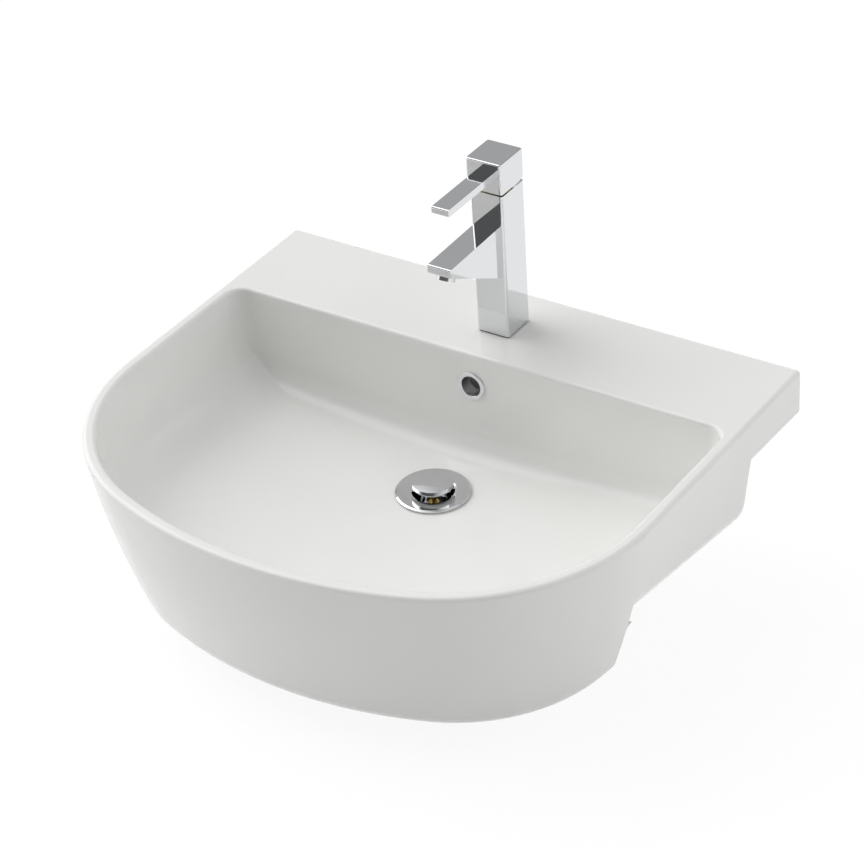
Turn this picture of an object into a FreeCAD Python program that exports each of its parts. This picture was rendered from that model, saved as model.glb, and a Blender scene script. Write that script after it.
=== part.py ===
import FreeCAD, Part
import math
import os

# A semi-recessed basin with a single-lever mixer tap and a push-click waste.
# Millimetres. X runs along the wall, +Y into the wall, +Z up.
# The origin is the centre of the rear ledge's face on the wall.

V = FreeCAD.Vector
X_AXIS = V(1, 0, 0)
Y_AXIS = V(0, 1, 0)
Z_AXIS = V(0, 0, 1)
UP = math.pi / 2

# Basin outline, seen from above
BASIN_WIDTH = 550.0
BASIN_DEPTH = 479.0          # wall to front
SIDE_LENGTH = 272.0          # straight stretch of each side
FRONT_BOW = 15.0             # front, ahead of where the corner arcs would reach
WALL_CORNER_RADIUS = 3.0
RIM_WIDTH = 12.0
RIM_OUTER_ROUND = 4.0
RIM_INNER_ROUND = 3.5

# Basin, seen from the side (depths are below the rim)
LEDGE_HEIGHT = 45.0
LEDGE_DEPTH = 82.0           # wall to the body's rear wall
LEDGE_ROUND = 3.0
DECK_THICKNESS = 14.0
SKIRT_THICKNESS = 12.0       # walls round the hollow under the deck
REAR_WALL_LEAN = 8.0
UNDERSIDE_DEPTH = 112.0      # under the waste
UNDERSIDE_SLOPE = 0.05       # deeper towards the wall
BODY_REAR_ROUND = 12.0       # round the rear wall's lower edge and corners
BODY_EDGE_REAR = 30.0        # rounding of the lower side edges at the rear wall
BODY_EDGE_FRONT = 44.0       # and at the apron
APRON_SETBACK = 278.0        # wall to the apron's rear face
APRON_ROOT_ROUND = 6.0
APRON_HEIGHT = 168.0
APRON_FOOT_ROUND = 22.0
APRON_REAR_ROUND = 16.0
TAPER_REFERENCE = 165.0      # depth at which the two taper sizes hold
TAPER_STRAIGHT = 23.0
TAPER_CURVED = 17.0

# Bowl
BOWL_BACK = 116.0            # wall to the bowl's rear edge
BOWL_CORNER_RADIUS = 18.0
BOWL_SIDE_DRAFT = math.radians(7)
BOWL_BACK_DRAFT = math.radians(3)
BOWL_SIDE_FOOT = 55.0        # rounding between the walls and the floor
BOWL_BACK_FOOT = 22.0
BOWL_FLOOR_DEPTH = 107.0     # at the waste
BOWL_FLOOR_SLOPE = 0.065
WASTE_SETBACK = 190.0        # wall to the waste's axis
WASTE_SEAT_RADIUS = 40.0
WASTE_HOLE_RADIUS = 23.0
WASTE_BOSS_RADIUS = 38.0
WASTE_BOSS_HEIGHT = 42.0     # seat to the boss's underside
SUMP_TOP_RADIUS = 105.0
SUMP_FOOT_RADIUS = 60.0
SUMP_DROP = 15.0             # below the seat
OVERFLOW_DEPTH = 33.0        # rim to the overflow's centre
DUCT_WIDTH = 28.0
DUCT_DEPTH = 10.0
DUCT_TOP = 24.0
DUCT_REAR_WALL = 14.0        # from the body's rear wall to the duct
LOWER_DUCT_HEIGHT = 12.0
LOWER_DUCT_DROP = 15.0       # seat to the lower duct's roof
DUCT_WALL = 10.0

# Overflow ring
OVERFLOW_BORE = 10.0
OVERFLOW_TUBE_RADIUS = 11.0
OVERFLOW_FLANGE_RADIUS = 14.0
OVERFLOW_FLANGE = 1.5
OVERFLOW_FLANGE_ROUND = 0.5
OVERFLOW_TUBE_LENGTH = 12.0
OVERFLOW_FIT = 0.3

# Tap body and spout (heights are above the deck)
TAP_SETBACK = 59.0           # wall to the tap's axis
TAP_HOLE_RADIUS = 15.0
TAP_SEAL = 1.5
TAP_SEAL_INSET = 1.0
TAP_WIDTH = 34.0
TAP_DEPTH = 37.5
TAP_HEIGHT = 148.0
TAP_EDGE_ROUND = 2.75
SPOUT_WIDTH = 24.0
SPOUT_REACH = 81.0           # from the body's front face
SPOUT_TOP = 115.7
SPOUT_TIP_TOP = 114.0
SPOUT_TIP = 8.0
SPOUT_ROOT = 63.5            # height where the underside meets the body
SPOUT_ROUND = 1.5
AERATOR_REACH = 70.25
AERATOR_BORE = 8.2
AERATOR_BORE_DEPTH = 8.0
CHANNEL_RADIUS = 3.5
CHANNEL_HEIGHT = 108.0
OUTLET_OFFSET = 7.0          # outlet passage, in front of the tap's axis
INLET_SPREAD = 6.5
INLET_OFFSET = 4.5           # behind the tap's axis
INLET_RADIUS = 4.5
INLET_DEPTH = 12.0
WATERWAY_RADIUS = 4.2        # above the inlet's thread
WATERWAY_ROOF = 10.0         # where it narrows to a port, below the cartridge
STUD_OFFSET = 9.0            # in front of the tap's axis
STUD_RADIUS = 4.0
STUD_SOCKET = 12.0
STUD_DROP = 42.0             # rim to the stud's lower end
THREAD_FIT = 0.05

# Cartridge
BODY_BORE = 13.2
BODY_COUNTERBORE = 14.9
HOUSING_RADIUS = 13.0
HOUSING_BORE = 11.2
HOUSING_BASE = 3.0
HOUSING_LID = 2.0
HOUSING_MOUTH = 9.3
NUT_RADIUS = 14.7
NUT_HEIGHT = 6.0
NUT_BELOW_TOP = 0.5
BASE_SEAL_HEIGHT = 1.0
BASE_SEAL_RADIUS = 4.4
BASE_SEAL_BORE = 3.2
FIXED_DISC_RADIUS = 10.8
FIXED_DISC_HEIGHT = 3.0
MOVING_DISC_RADIUS = 8.8
MOVING_DISC_HEIGHT = 4.0
PORT_RADIUS = 2.0
CARRIER_RADIUS = 10.9
CARRIER_HEIGHT = 10.6
CARRIER_FIT = 0.2
NECK_RADIUS = 9.0
NECK_BELOW_TOP = 1.0
PIVOT_BELOW_TOP = 14.0
LEVER_ARM = 6.0              # pivot to the ball's centre
BALL_RADIUS = 2.2
BALL_FIT = 0.2
POCKET_DEPTH = 3.0
SPINDLE_SIZE = 6.0
SPINDLE_NECK = 3.2
SPINDLE_FIT = 0.4
SPINDLE_SIDE_FIT = 0.15
PIN_RADIUS = 1.5
PIN_LENGTH = 21.0
PIN_FIT = 0.05
LIFT_ANGLE = math.radians(18)
LIFT_CLEARANCE = 0.4

# Handle
HEAD_WIDTH = 37.0
HEAD_DEPTH = 38.5
HEAD_FRONT = 21.5            # tap's axis to the head's front face
HEAD_GAP = 3.5               # body to head
HEAD_HEIGHT = 30.0
HEAD_ROUND = 1.5
LEVER_WIDTH = 17.5
LEVER_LENGTH = 71.0
LEVER_THICKNESS = 7.0
LEVER_TOP = 170.0
LEVER_ROUND = 1.5
SOCKET_FIT = 0.05
SOCKET_DEPTH = 14.0
SOCKET_END_GAP = 0.3
GRUB_RADIUS = 2.5
GRUB_LENGTH = 6.0
GRUB_HEIGHT = 8.0            # above the head's underside
INDEX_RADIUS = 3.5
INDEX_DEPTH = 2.0

# Aerator (lengths run up from the spout's underside, square to it)
AERATOR_COLLAR_RADIUS = 9.0
AERATOR_PROUD = 4.0
AERATOR_TUBE_RADIUS = 8.1
AERATOR_TUBE_BORE = 6.8
AERATOR_LIP = 1.0
AERATOR_LIP_BORE = 6.0
AERATOR_SEAL = 1.5
AERATOR_SEAL_RADIUS = 7.9
AERATOR_SEAL_BORE = 5.5
INSERT_RADIUS = 6.7
INSERT_HEIGHT = 5.0
INSERT_HOLE_RADIUS = 0.9
INNER_RING_RADIUS = 2.6
INNER_RING_HOLES = 6
OUTER_RING_RADIUS = 4.9
OUTER_RING_HOLES = 12

# Tap fixings under the deck
HORSESHOE_RADIUS = 20.0
HORSESHOE_SLOT = 24.0
HORSESHOE_WEB = 2.5          # slot's end, in front of the tap's axis
HORSESHOE_SEAL = 3.0
HORSESHOE_WASHER = 2.5
NUT_ACROSS_FLATS = 13.0
FIXING_NUT_HEIGHT = 6.5

# Waste (heights are above the seat in the bowl)
WASTE_SEAL = 1.5
WASTE_SEAL_RADIUS = 33.5
FLANGE_RADIUS = 35.0
FLANGE_EDGE = 2.4
DISH_RIM = (33.5, 3.4)       # radius and height of the flange's highest circle
DISH_FOOT = (21.5, 2.6)
DISH_LIP = (20.0, 1.9)       # where the plug's seat starts
TUBE_BORE = 17.5
TUBE_SHOULDER = -2.1
TUBE_RADIUS = 20.95
SLOT_TOP = -16.0
SLOT_HEIGHT = 12.0
SLOT_WIDTH = 14.0
SPIDER_TOP = -28.0
SPIDER_HEIGHT = 6.0
SPIDER_WIDTH = 6.0
SPIDER_BOSS_RADIUS = 7.0
BOTTOM_SEAL = 4.0
BOTTOM_SEAL_RADIUS = 30.0
BACK_NUT = 11.0
BACK_NUT_RADIUS = 30.0
BACK_NUT_LUGS = 6
BACK_NUT_LUG_WIDTH = 9.0
BACK_NUT_LUG = 3.0
THREAD_BELOW_NUT = 3.0
NECK_LENGTH = 2.0            # groove between the thread and the tail
NECK_WALL = 1.2
TAIL_RADIUS = 16.0
TAIL_BORE = 14.4
TAIL_LENGTH = 30.0
TAIL_FUNNEL = 4.0            # height over which the bore narrows to the tail

# Push-click plug, shown open
PLUG_RISE = 7.5
PLUG_RADIUS = 19.2
PLUG_THICKNESS = 3.5
PLUG_DOME = 1.0
PLUG_CLOSED = 1.6            # underside when shut
PLUG_HUB_RADIUS = 15.6
PLUG_HUB_HEIGHT = 3.0
PLUG_SEAL_BORE = 15.85
PLUG_SEAL_RADIUS = 18.8
PLUG_SEAL_EDGE = 1.0
PLUG_SEAL_LIP = (17.3, 2.6)  # radius and depth of its lower edge
CLICK_RADIUS = 5.0
CLICK_COLLAR_RADIUS = 6.3
CLICK_COLLAR = 2.0
CLICK_TOP = -10.0
CLICK_BORE = 3.6
CLICK_LID = 2.0
CLICK_BASE = 3.0
CLICK_DROP = 8.0             # below the spider's top
STEM_RADIUS = 2.4
STEM_COLLAR_RADIUS = 3.4
STEM_COLLAR = 3.0
STEM_TAIL = 2.7
STEM_FIT = 0.1
STEM_COLLAR_GAP = 0.3
SPRING_RADIUS = 3.2
SPRING_WIRE = 0.5

# How the shapes are worked out
PAST = 1.0                   # cutting shapes run this far past what they cut
WALL_OVERRUN = 60.0          # the outside is carried on behind the wall, then cut flush
LOFT_CORNER_RADIUS = 30.0    # its corners there
OUTER_RINGS = 6
REAR_STEPS = 4
BOWL_FOOT_TURNS = (0, 0.22, 0.45, 0.7, 0.95)   # shares of the turn from wall to floor
SIDE_ALLOWANCE = 0.1
TOLERANCE = 0.01

# Levels and places worked out from the sizes above
RIM_Z = LEDGE_HEIGHT / 2
LEDGE_Z = RIM_Z - LEDGE_HEIGHT
HALF_WIDTH = BASIN_WIDTH / 2
FRONT_SPAN = BASIN_DEPTH - SIDE_LENGTH
CORNER_RADIUS = FRONT_SPAN - FRONT_BOW
CORNER_X = HALF_WIDTH - CORNER_RADIUS
FRONT_RADIUS = ((HALF_WIDTH ** 2 - BASIN_WIDTH * CORNER_RADIUS + FRONT_SPAN ** 2)
                / (2 * FRONT_BOW))
FRONT_CENTRE_Y = FRONT_RADIUS - BASIN_DEPTH
SEAT_Z = RIM_Z - BOWL_FLOOR_DEPTH
TAP_Y = -TAP_SETBACK
TAP_FRONT_Y = TAP_Y - TAP_DEPTH / 2
TAP_TOP_Z = RIM_Z + TAP_HEIGHT
DECK_UNDER_Z = RIM_Z - DECK_THICKNESS
HEAD_UNDER_Z = TAP_TOP_Z + HEAD_GAP
PIVOT_Z = TAP_TOP_Z - PIVOT_BELOW_TOP
NUT_TOP_Z = TAP_TOP_Z - NUT_BELOW_TOP
HOUSING_TOP_Z = NUT_TOP_Z - NUT_HEIGHT
CARRIER_TOP_Z = HOUSING_TOP_Z - HOUSING_LID - CARRIER_FIT
CARRIER_UNDER_Z = CARRIER_TOP_Z - CARRIER_HEIGHT
MOVING_DISC_TOP_Z = CARRIER_UNDER_Z - CARRIER_FIT
MOVING_DISC_Z = MOVING_DISC_TOP_Z - MOVING_DISC_HEIGHT
FIXED_DISC_Z = MOVING_DISC_Z - FIXED_DISC_HEIGHT
HOUSING_Z = FIXED_DISC_Z - HOUSING_BASE
BORE_FLOOR_Z = HOUSING_Z - BASE_SEAL_HEIGHT
BALL_Z = PIVOT_Z - LEVER_ARM
STUD_Y = TAP_Y - STUD_OFFSET
INLET_Y = TAP_Y + INLET_OFFSET
OUTLET_Y = TAP_Y - OUTLET_OFFSET
WASTE_Y = -WASTE_SETBACK
BOSS_UNDER_Z = SEAT_Z - WASTE_BOSS_HEIGHT
BACK_NUT_Z = BOSS_UNDER_Z - BOTTOM_SEAL - BACK_NUT
THREAD_END_Z = BACK_NUT_Z - THREAD_BELOW_NUT
TAIL_TOP_Z = THREAD_END_Z - NECK_LENGTH
TAIL_END_Z = TAIL_TOP_Z - TAIL_LENGTH
CLICK_TOP_Z = SEAT_Z + CLICK_TOP
CLICK_UNDER_Z = SEAT_Z + SPIDER_TOP - CLICK_DROP
PLUG_UNDER_Z = SEAT_Z + PLUG_CLOSED + PLUG_RISE
STEM_COLLAR_TOP_Z = CLICK_TOP_Z - CLICK_LID - STEM_COLLAR_GAP
STEM_COLLAR_UNDER_Z = STEM_COLLAR_TOP_Z - STEM_COLLAR


# Shapes used by several pieces

def box(x_range, y_range, z_range):
    """Block between two values on each axis."""
    corner = V(x_range[0], y_range[0], z_range[0])
    return Part.makeBox(x_range[1] - x_range[0], y_range[1] - y_range[0],
                        z_range[1] - z_range[0], corner)


def rod(radius, z_range, x=0.0, y=0.0):
    """Upright cylinder between two heights."""
    return Part.makeCylinder(radius, z_range[1] - z_range[0], V(x, y, z_range[0]), Z_AXIS)


def pipe(outer, inner, z_range, x=0.0, y=0.0):
    """Upright tube between two heights."""
    return rod(outer, z_range, x, y).cut(rod(inner, z_range, x, y))


def rounded_face(corners):
    """Flat face through (point, radius) corners, each rounded by its radius."""
    starts = []
    mids = []
    ends = []
    for index, (point, radius) in enumerate(corners):
        back = (corners[index - 1][0] - point).normalize()
        ahead = (corners[(index + 1) % len(corners)][0] - point).normalize()
        half_angle = back.getAngle(ahead) / 2
        bisector = (back + ahead).normalize()
        starts.append(point + back * (radius / math.tan(half_angle)))
        ends.append(point + ahead * (radius / math.tan(half_angle)))
        mids.append(point + bisector * (radius / math.sin(half_angle) - radius))
    edges = []
    for index, (point, radius) in enumerate(corners):
        if radius > 0:
            edges.append(Part.Arc(starts[index], mids[index], ends[index]).toShape())
        following = starts[(index + 1) % len(corners)]
        if (following - ends[index]).Length > Part.Precision.confusion():
            edges.append(Part.LineSegment(ends[index], following).toShape())
    return Part.Face(Part.Wire(edges))


def side_profile(corners, x_range):
    """Block with a side profile of (y, z, radius) corners, across an X range."""
    face = rounded_face([(V(x_range[0], y, z), radius) for y, z, radius in corners])
    return face.extrude(X_AXIS * (x_range[1] - x_range[0]))


def rounded_bar(width, y_range, z_range, radius):
    """Upright bar centred on x = 0, with its four upright edges rounded."""
    left, right = -width / 2, width / 2
    corners = [(left, y_range[0]), (right, y_range[0]), (right, y_range[1]), (left, y_range[1])]
    face = rounded_face([(V(x, y, z_range[0]), radius) for x, y in corners])
    return face.extrude(Z_AXIS * (z_range[1] - z_range[0]))


def closed_solid(faces):
    """Solid inside faces that meet edge to edge."""
    shell = Part.makeShell(faces)
    shell.sewShape()
    return Part.makeSolid(shell)


def turned(profile, x=0.0, y=0.0, base=0.0):
    """Solid turned about an upright axis from (radius, height) points."""
    points = [V(x + radius, y, base + height) for radius, height in profile]
    wire = Part.makePolygon(points + [points[0]])
    return Part.Face(wire).revolve(V(x, y, 0), Z_AXIS, 360)


def edges_at(shape, height):
    """Edges of a shape that lie flat at a height."""
    found = []
    for edge in shape.Edges:
        bounds = edge.BoundBox
        if max(abs(bounds.ZMin - height), abs(bounds.ZMax - height)) < TOLERANCE:
            found.append(edge)
    return found


# Basin

def around(angle):
    """Unit vector at an angle in plan."""
    return V(math.cos(angle), math.sin(angle), 0)


def arc_through(start, middle, end):
    """Arc through three points, or a line where they lie in line."""
    chord_middle = (start + end) / 2
    if (middle - chord_middle).Length < Part.Precision.confusion():
        return Part.LineSegment(start, end).toShape()
    return Part.Arc(start, middle, end).toShape()


def right_half_plan(rear_centre, rear_radius, inset):
    """Points down the right half: three on the rear corner's arc, three on the front corner's."""
    corner = V(CORNER_X, -SIDE_LENGTH, 0)
    corner_radius = CORNER_RADIUS - inset
    link = corner - rear_centre
    side_angle = (math.atan2(link.y, link.x)
                  + math.acos((rear_radius - corner_radius) / link.Length))
    joint = corner - V(0, FRONT_CENTRE_Y, 0)
    joint_angle = math.atan2(joint.y, joint.x)
    rear_angles = (UP, (UP + side_angle) / 2, side_angle)
    front_angles = (side_angle, (side_angle + joint_angle) / 2, joint_angle)
    rear = [rear_centre + around(angle) * rear_radius for angle in rear_angles]
    front = [corner + around(angle) * corner_radius for angle in front_angles]
    return rear + front


def plan_ring(right, rear_middle, front_middle):
    """Closed wire of eight edges from the right half's six points and its mirror image."""
    left = [V(-point.x, point.y, point.z) for point in right]
    edges = [
        arc_through(left[0], rear_middle, right[0]),
        arc_through(right[0], right[1], right[2]),
        Part.LineSegment(right[2], right[3]).toShape(),
        arc_through(right[3], right[4], right[5]),
        arc_through(right[5], front_middle, left[5]),
        arc_through(left[5], left[4], left[3]),
        Part.LineSegment(left[3], left[2]).toShape(),
        arc_through(left[2], left[1], left[0]),
    ]
    return Part.Wire(edges)


def outer_half_plan(depth):
    """Right half of the outside at a depth below the rim, carried on past the wall."""
    share = depth / TAPER_REFERENCE
    inset = TAPER_STRAIGHT * share + TAPER_CURVED * share ** 2
    rear_centre = V(HALF_WIDTH - LOFT_CORNER_RADIUS, 0, 0)
    right = right_half_plan(rear_centre, LOFT_CORNER_RADIUS, inset)
    return [point + V(0, 0, RIM_Z - depth) for point in right], inset


def outer_ring(depth):
    """Basin's outline at a depth below the rim, drawn in as the walls taper."""
    right, inset = outer_half_plan(depth)
    rear_middle = V(0, right[0].y, right[0].z)
    front_middle = V(0, inset - BASIN_DEPTH, right[0].z)
    return plan_ring(right, rear_middle, front_middle)


def outer_body():
    """Tapered outside of the basin, flush with the wall, with room under the ledge."""
    depths = [APRON_HEIGHT * index / (OUTER_RINGS - 1) for index in range(OUTER_RINGS)]
    body = Part.makeLoft([outer_ring(depth) for depth in depths], True, False)
    body = body.makeFillet(APRON_FOOT_ROUND, edges_at(body, RIM_Z - APRON_HEIGHT))
    body = body.cut(space_outside())
    body = body.makeFillet(RIM_OUTER_ROUND, edges_at(body, RIM_Z))
    body = body.makeFillet(WALL_CORNER_RADIUS, wall_corners(body))
    ledge = [edge for edge in edges_at(body, LEDGE_Z) if edge.CenterOfMass.y > PAST - LEDGE_DEPTH]
    return body.makeFillet(LEDGE_ROUND, ledge)


def wall_corners(body):
    """Upright edges where the ledge's ends meet the wall."""
    found = []
    for edge in body.Edges:
        bounds = edge.BoundBox
        upright = bounds.ZLength > LEDGE_HEIGHT / 2
        if upright and max(abs(bounds.YMin), abs(bounds.YMax)) < TOLERANCE:
            found.append(edge)
    return found


def underside_z(y):
    """Height of the body's sloping underside at a distance from the wall."""
    return RIM_Z - UNDERSIDE_DEPTH - UNDERSIDE_SLOPE * (y + WASTE_SETBACK)


def space_outside():
    """Room behind the wall line, under the ledge and behind the apron, round the lower body."""
    foot_z = RIM_Z - APRON_HEIGHT
    lip_y = -APRON_SETBACK - 2 * APRON_REAR_ROUND
    corners = [
        (WALL_OVERRUN, RIM_Z + PAST, 0),
        (0, RIM_Z + PAST, 0),
        (0, LEDGE_Z, 0),
        (-APRON_SETBACK, LEDGE_Z, 0),
        (-APRON_SETBACK, foot_z, APRON_REAR_ROUND),
        (lip_y, foot_z, 0),
        (lip_y, foot_z - PAST, 0),
        (WALL_OVERRUN, foot_z - PAST, 0),
    ]
    space = side_profile(corners, (-BASIN_WIDTH, BASIN_WIDTH))
    return space.cut([lower_body(), apron_root()])


def side_x(y, depth):
    """Half width between the straight sides at a place and a depth."""
    right, inset = outer_half_plan(depth)
    rear, front = right[2], right[3]
    return rear.x + (front.x - rear.x) * (y - rear.y) / (front.y - rear.y)


def lower_section(y, radius, inset=0.0, lean=0.0):
    """Leaning section across the lower body, its sides just clear of the outside."""
    top_z = LEDGE_Z + PAST
    bottom_z = underside_z(y) + inset
    depth = RIM_Z - bottom_z - radius
    top_y = y + lean * PAST
    bottom_y = y - lean * (LEDGE_Z - bottom_z)
    taper = (side_x(bottom_y, depth - PAST) - side_x(bottom_y, depth + PAST)) / (2 * PAST)
    half_width = side_x(bottom_y, depth) + SIDE_ALLOWANCE - inset
    bottom_x = half_width - taper * radius
    top_x = half_width + taper * (depth - RIM_Z + top_z)
    corners = [
        (V(-top_x, top_y, top_z), 0),
        (V(-bottom_x, bottom_y, bottom_z), radius),
        (V(bottom_x, bottom_y, bottom_z), radius),
        (V(top_x, top_y, top_z), 0),
    ]
    return rounded_face(corners).OuterWire


def lower_body():
    """Body under the ledge: lower edges rounded more towards the wall, and a rounded rear."""
    lean = REAR_WALL_LEAN / (UNDERSIDE_DEPTH - LEDGE_HEIGHT)
    rear = []
    for angle in (UP * step / REAR_STEPS for step in range(REAR_STEPS + 1)):
        y = BODY_REAR_ROUND * (math.sin(angle) - 1) - LEDGE_DEPTH
        inset = BODY_REAR_ROUND * (1 - math.cos(angle))
        rear.append(lower_section(y, BODY_EDGE_REAR - inset, inset, lean))
    front = lower_section(-APRON_SETBACK - PAST, BODY_EDGE_FRONT)
    sides = Part.makeLoft([front, rear[0]], False, True)
    end = Part.makeLoft(rear, False, False)
    return closed_solid(sides.Faces + end.Faces + [Part.Face(front), Part.Face(rear[-1])])


def apron_root():
    """Filling that rounds the corner between the apron's rear face and the underside."""
    y = -APRON_SETBACK
    z = underside_z(y)
    x_range = (-BASIN_WIDTH, BASIN_WIDTH)
    filling = box(x_range, (y - PAST, y + APRON_ROOT_ROUND), (z - APRON_ROOT_ROUND, z + PAST))
    hollow = Part.makeCylinder(APRON_ROOT_ROUND, 2 * BASIN_WIDTH,
                               V(-BASIN_WIDTH, y + APRON_ROOT_ROUND, z - APRON_ROOT_ROUND), X_AXIS)
    return filling.cut(hollow)


def bowl_floor_depth(x, y):
    """Depth of the bowl's floor, a shallow cone that falls to the waste."""
    return BOWL_FLOOR_DEPTH - BOWL_FLOOR_SLOPE * math.hypot(x, y + WASTE_SETBACK)


def wall_foot(radius, draft, floor_depth):
    """Inset from the rim of the centre of a foot rounding."""
    wall_depth = floor_depth - radius * (1 - math.sin(draft))
    return math.tan(draft) * wall_depth + radius * math.cos(draft)


def bowl_ring(turn):
    """Bowl's outline where its surface has turned to a share of the way from wall to floor."""
    side_angle = BOWL_SIDE_DRAFT + turn * (UP - BOWL_SIDE_DRAFT)
    rear_angle = BOWL_BACK_DRAFT + turn * (UP - BOWL_BACK_DRAFT)
    side_floor = bowl_floor_depth(HALF_WIDTH - BOWL_SIDE_FOOT, -SIDE_LENGTH)
    rear_floor = bowl_floor_depth(HALF_WIDTH / 2, -BOWL_BACK)
    side_inset = (wall_foot(BOWL_SIDE_FOOT, BOWL_SIDE_DRAFT, side_floor)
                  - BOWL_SIDE_FOOT * math.cos(side_angle))
    rear_inset = (wall_foot(BOWL_BACK_FOOT, BOWL_BACK_DRAFT, rear_floor)
                  - BOWL_BACK_FOOT * math.cos(rear_angle))
    side_rise = BOWL_SIDE_FOOT * (1 - math.sin(side_angle))
    rear_rise = BOWL_BACK_FOOT * (1 - math.sin(rear_angle))
    inset = RIM_WIDTH + side_inset
    rear_centre = V(HALF_WIDTH - inset - BOWL_CORNER_RADIUS,
                    -BOWL_BACK - rear_inset - BOWL_CORNER_RADIUS, 0)
    right = right_half_plan(rear_centre, BOWL_CORNER_RADIUS, inset)
    rises = [rear_rise, (rear_rise + side_rise) / 2, side_rise, side_rise, side_rise, side_rise]
    right = [V(point.x, point.y, RIM_Z - bowl_floor_depth(point.x, point.y) + rise)
             for point, rise in zip(right, rises)]
    rear_y = right[0].y
    front_y = inset - BASIN_DEPTH
    rear_middle = V(0, rear_y, RIM_Z - bowl_floor_depth(0, rear_y) + rear_rise)
    front_middle = V(0, front_y, RIM_Z - bowl_floor_depth(0, front_y) + side_rise)
    return plan_ring(right, rear_middle, front_middle)


def bowl_mouth(above):
    """Bowl's outline at a height above the rim, along the drafted walls."""
    inset = RIM_WIDTH - above * math.tan(BOWL_SIDE_DRAFT)
    rear_inset = -above * math.tan(BOWL_BACK_DRAFT)
    rear_centre = V(HALF_WIDTH - inset - BOWL_CORNER_RADIUS,
                    -BOWL_BACK - rear_inset - BOWL_CORNER_RADIUS, 0)
    lift = V(0, 0, RIM_Z + above)
    right = [point + lift
             for point in right_half_plan(rear_centre, BOWL_CORNER_RADIUS, inset)]
    rear_middle = V(0, right[0].y, lift.z)
    front_middle = V(0, inset - BASIN_DEPTH, lift.z)
    return plan_ring(right, rear_middle, front_middle)


def seat_ring(floor_ring):
    """Circle round the waste, split in line with the points of the floor's outer ring."""
    centre = V(0, WASTE_Y, SEAT_Z)
    corners = [vertex.Point for vertex in floor_ring.OrderedVertexes]
    angles = [math.atan2(corner.y - WASTE_Y, corner.x) for corner in corners]
    edges = []
    for start, end in zip(angles, angles[1:] + angles[:1]):
        sweep = (end - start) % (-2 * math.pi)
        points = [centre + around(start + sweep * share) * WASTE_SEAT_RADIUS
                  for share in (0, 0.5, 1)]
        edges.append(Part.Arc(*points).toShape())
    return Part.Wire(edges)


def bowl_space():
    """Bowl's inside as a solid: drafted walls, a rounded foot and a floor falling to the waste."""
    foot_rings = [bowl_ring(turn) for turn in BOWL_FOOT_TURNS]
    mouth = bowl_mouth(PAST)
    seat = seat_ring(foot_rings[-1])
    walls = Part.makeLoft([mouth, foot_rings[0]], False, True)
    foot = Part.makeLoft(foot_rings, False, False)
    floor = Part.makeLoft([foot_rings[-1], seat], False, True)
    faces = walls.Faces + foot.Faces + floor.Faces
    return closed_solid(faces + [Part.Face(mouth), Part.Face(seat)])


def bowl_rear_y(depth):
    """Place of the bowl's drafted rear wall at a depth below the rim."""
    return -BOWL_BACK - depth * math.tan(BOWL_BACK_DRAFT)


def waste_boss():
    """Boss round the waste, with the thickening that carries it under the floor."""
    sump_z = SEAT_Z - SUMP_DROP
    sump = Part.makeCone(SUMP_FOOT_RADIUS, SUMP_TOP_RADIUS, SUMP_DROP, V(0, WASTE_Y, sump_z), Z_AXIS)
    boss = rod(WASTE_BOSS_RADIUS, (BOSS_UNDER_Z, SEAT_Z), 0, WASTE_Y)
    return sump.fuse(boss)


def duct_ridge():
    """Ridge under the body that carries the overflow duct to the waste boss."""
    half_width = DUCT_WIDTH / 2 + DUCT_WALL
    duct_floor_z = SEAT_Z - LOWER_DUCT_DROP - LOWER_DUCT_HEIGHT
    rear_y = duct_rear_y() + DUCT_WALL
    return box((-half_width, half_width), (WASTE_Y, rear_y), (duct_floor_z - DUCT_WALL, SEAT_Z))


def duct_rear_y():
    """Rear wall of the upright overflow duct."""
    return -LEDGE_DEPTH - DUCT_REAR_WALL


def overflow_duct():
    """Passage from the overflow hole down behind the bowl and forward to the waste hole."""
    half_width = DUCT_WIDTH / 2
    rear_y = duct_rear_y()
    lower_roof_z = SEAT_Z - LOWER_DUCT_DROP
    lower_floor_z = lower_roof_z - LOWER_DUCT_HEIGHT
    upright = box((-half_width, half_width), (rear_y - DUCT_DEPTH, rear_y),
                  (lower_floor_z, RIM_Z - DUCT_TOP))
    forward = box((-half_width, half_width), (WASTE_Y, rear_y), (lower_floor_z, lower_roof_z))
    return upright.fuse(forward)


def overflow_frame():
    """Centre of the overflow hole on the bowl's rear wall, and the way that wall faces."""
    centre = V(0, bowl_rear_y(OVERFLOW_DEPTH), RIM_Z - OVERFLOW_DEPTH)
    outward = V(0, -math.cos(BOWL_BACK_DRAFT), math.sin(BOWL_BACK_DRAFT))
    return centre, outward


def overflow_hole():
    centre, outward = overflow_frame()
    radius = OVERFLOW_TUBE_RADIUS + OVERFLOW_FIT
    length = BOWL_BACK - LEDGE_DEPTH - DUCT_REAR_WALL
    start = centre + outward * length
    return Part.makeCylinder(radius, 2 * length, start, outward * -1)


def ledge_hollow():
    """Hollow under the deck, open below, which takes the tap's fixings."""
    x_range = (SKIRT_THICKNESS - HALF_WIDTH, HALF_WIDTH - SKIRT_THICKNESS)
    y_range = (-LEDGE_DEPTH, -SKIRT_THICKNESS)
    return box(x_range, y_range, (RIM_Z - LEDGE_HEIGHT - PAST, DECK_UNDER_Z))


def tap_hole():
    return rod(TAP_HOLE_RADIUS, (DECK_UNDER_Z - PAST, RIM_Z + PAST), 0, TAP_Y)


def waste_hole():
    return rod(WASTE_HOLE_RADIUS, (BOSS_UNDER_Z - PAST, SEAT_Z + PAST), 0, WASTE_Y)


def on_bowl(bowl, edge):
    """Whether an edge's middle lies on the bowl's surface."""
    middle = edge.valueAt((edge.FirstParameter + edge.LastParameter) / 2)
    return bowl.isInside(middle, TOLERANCE, True)


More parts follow.
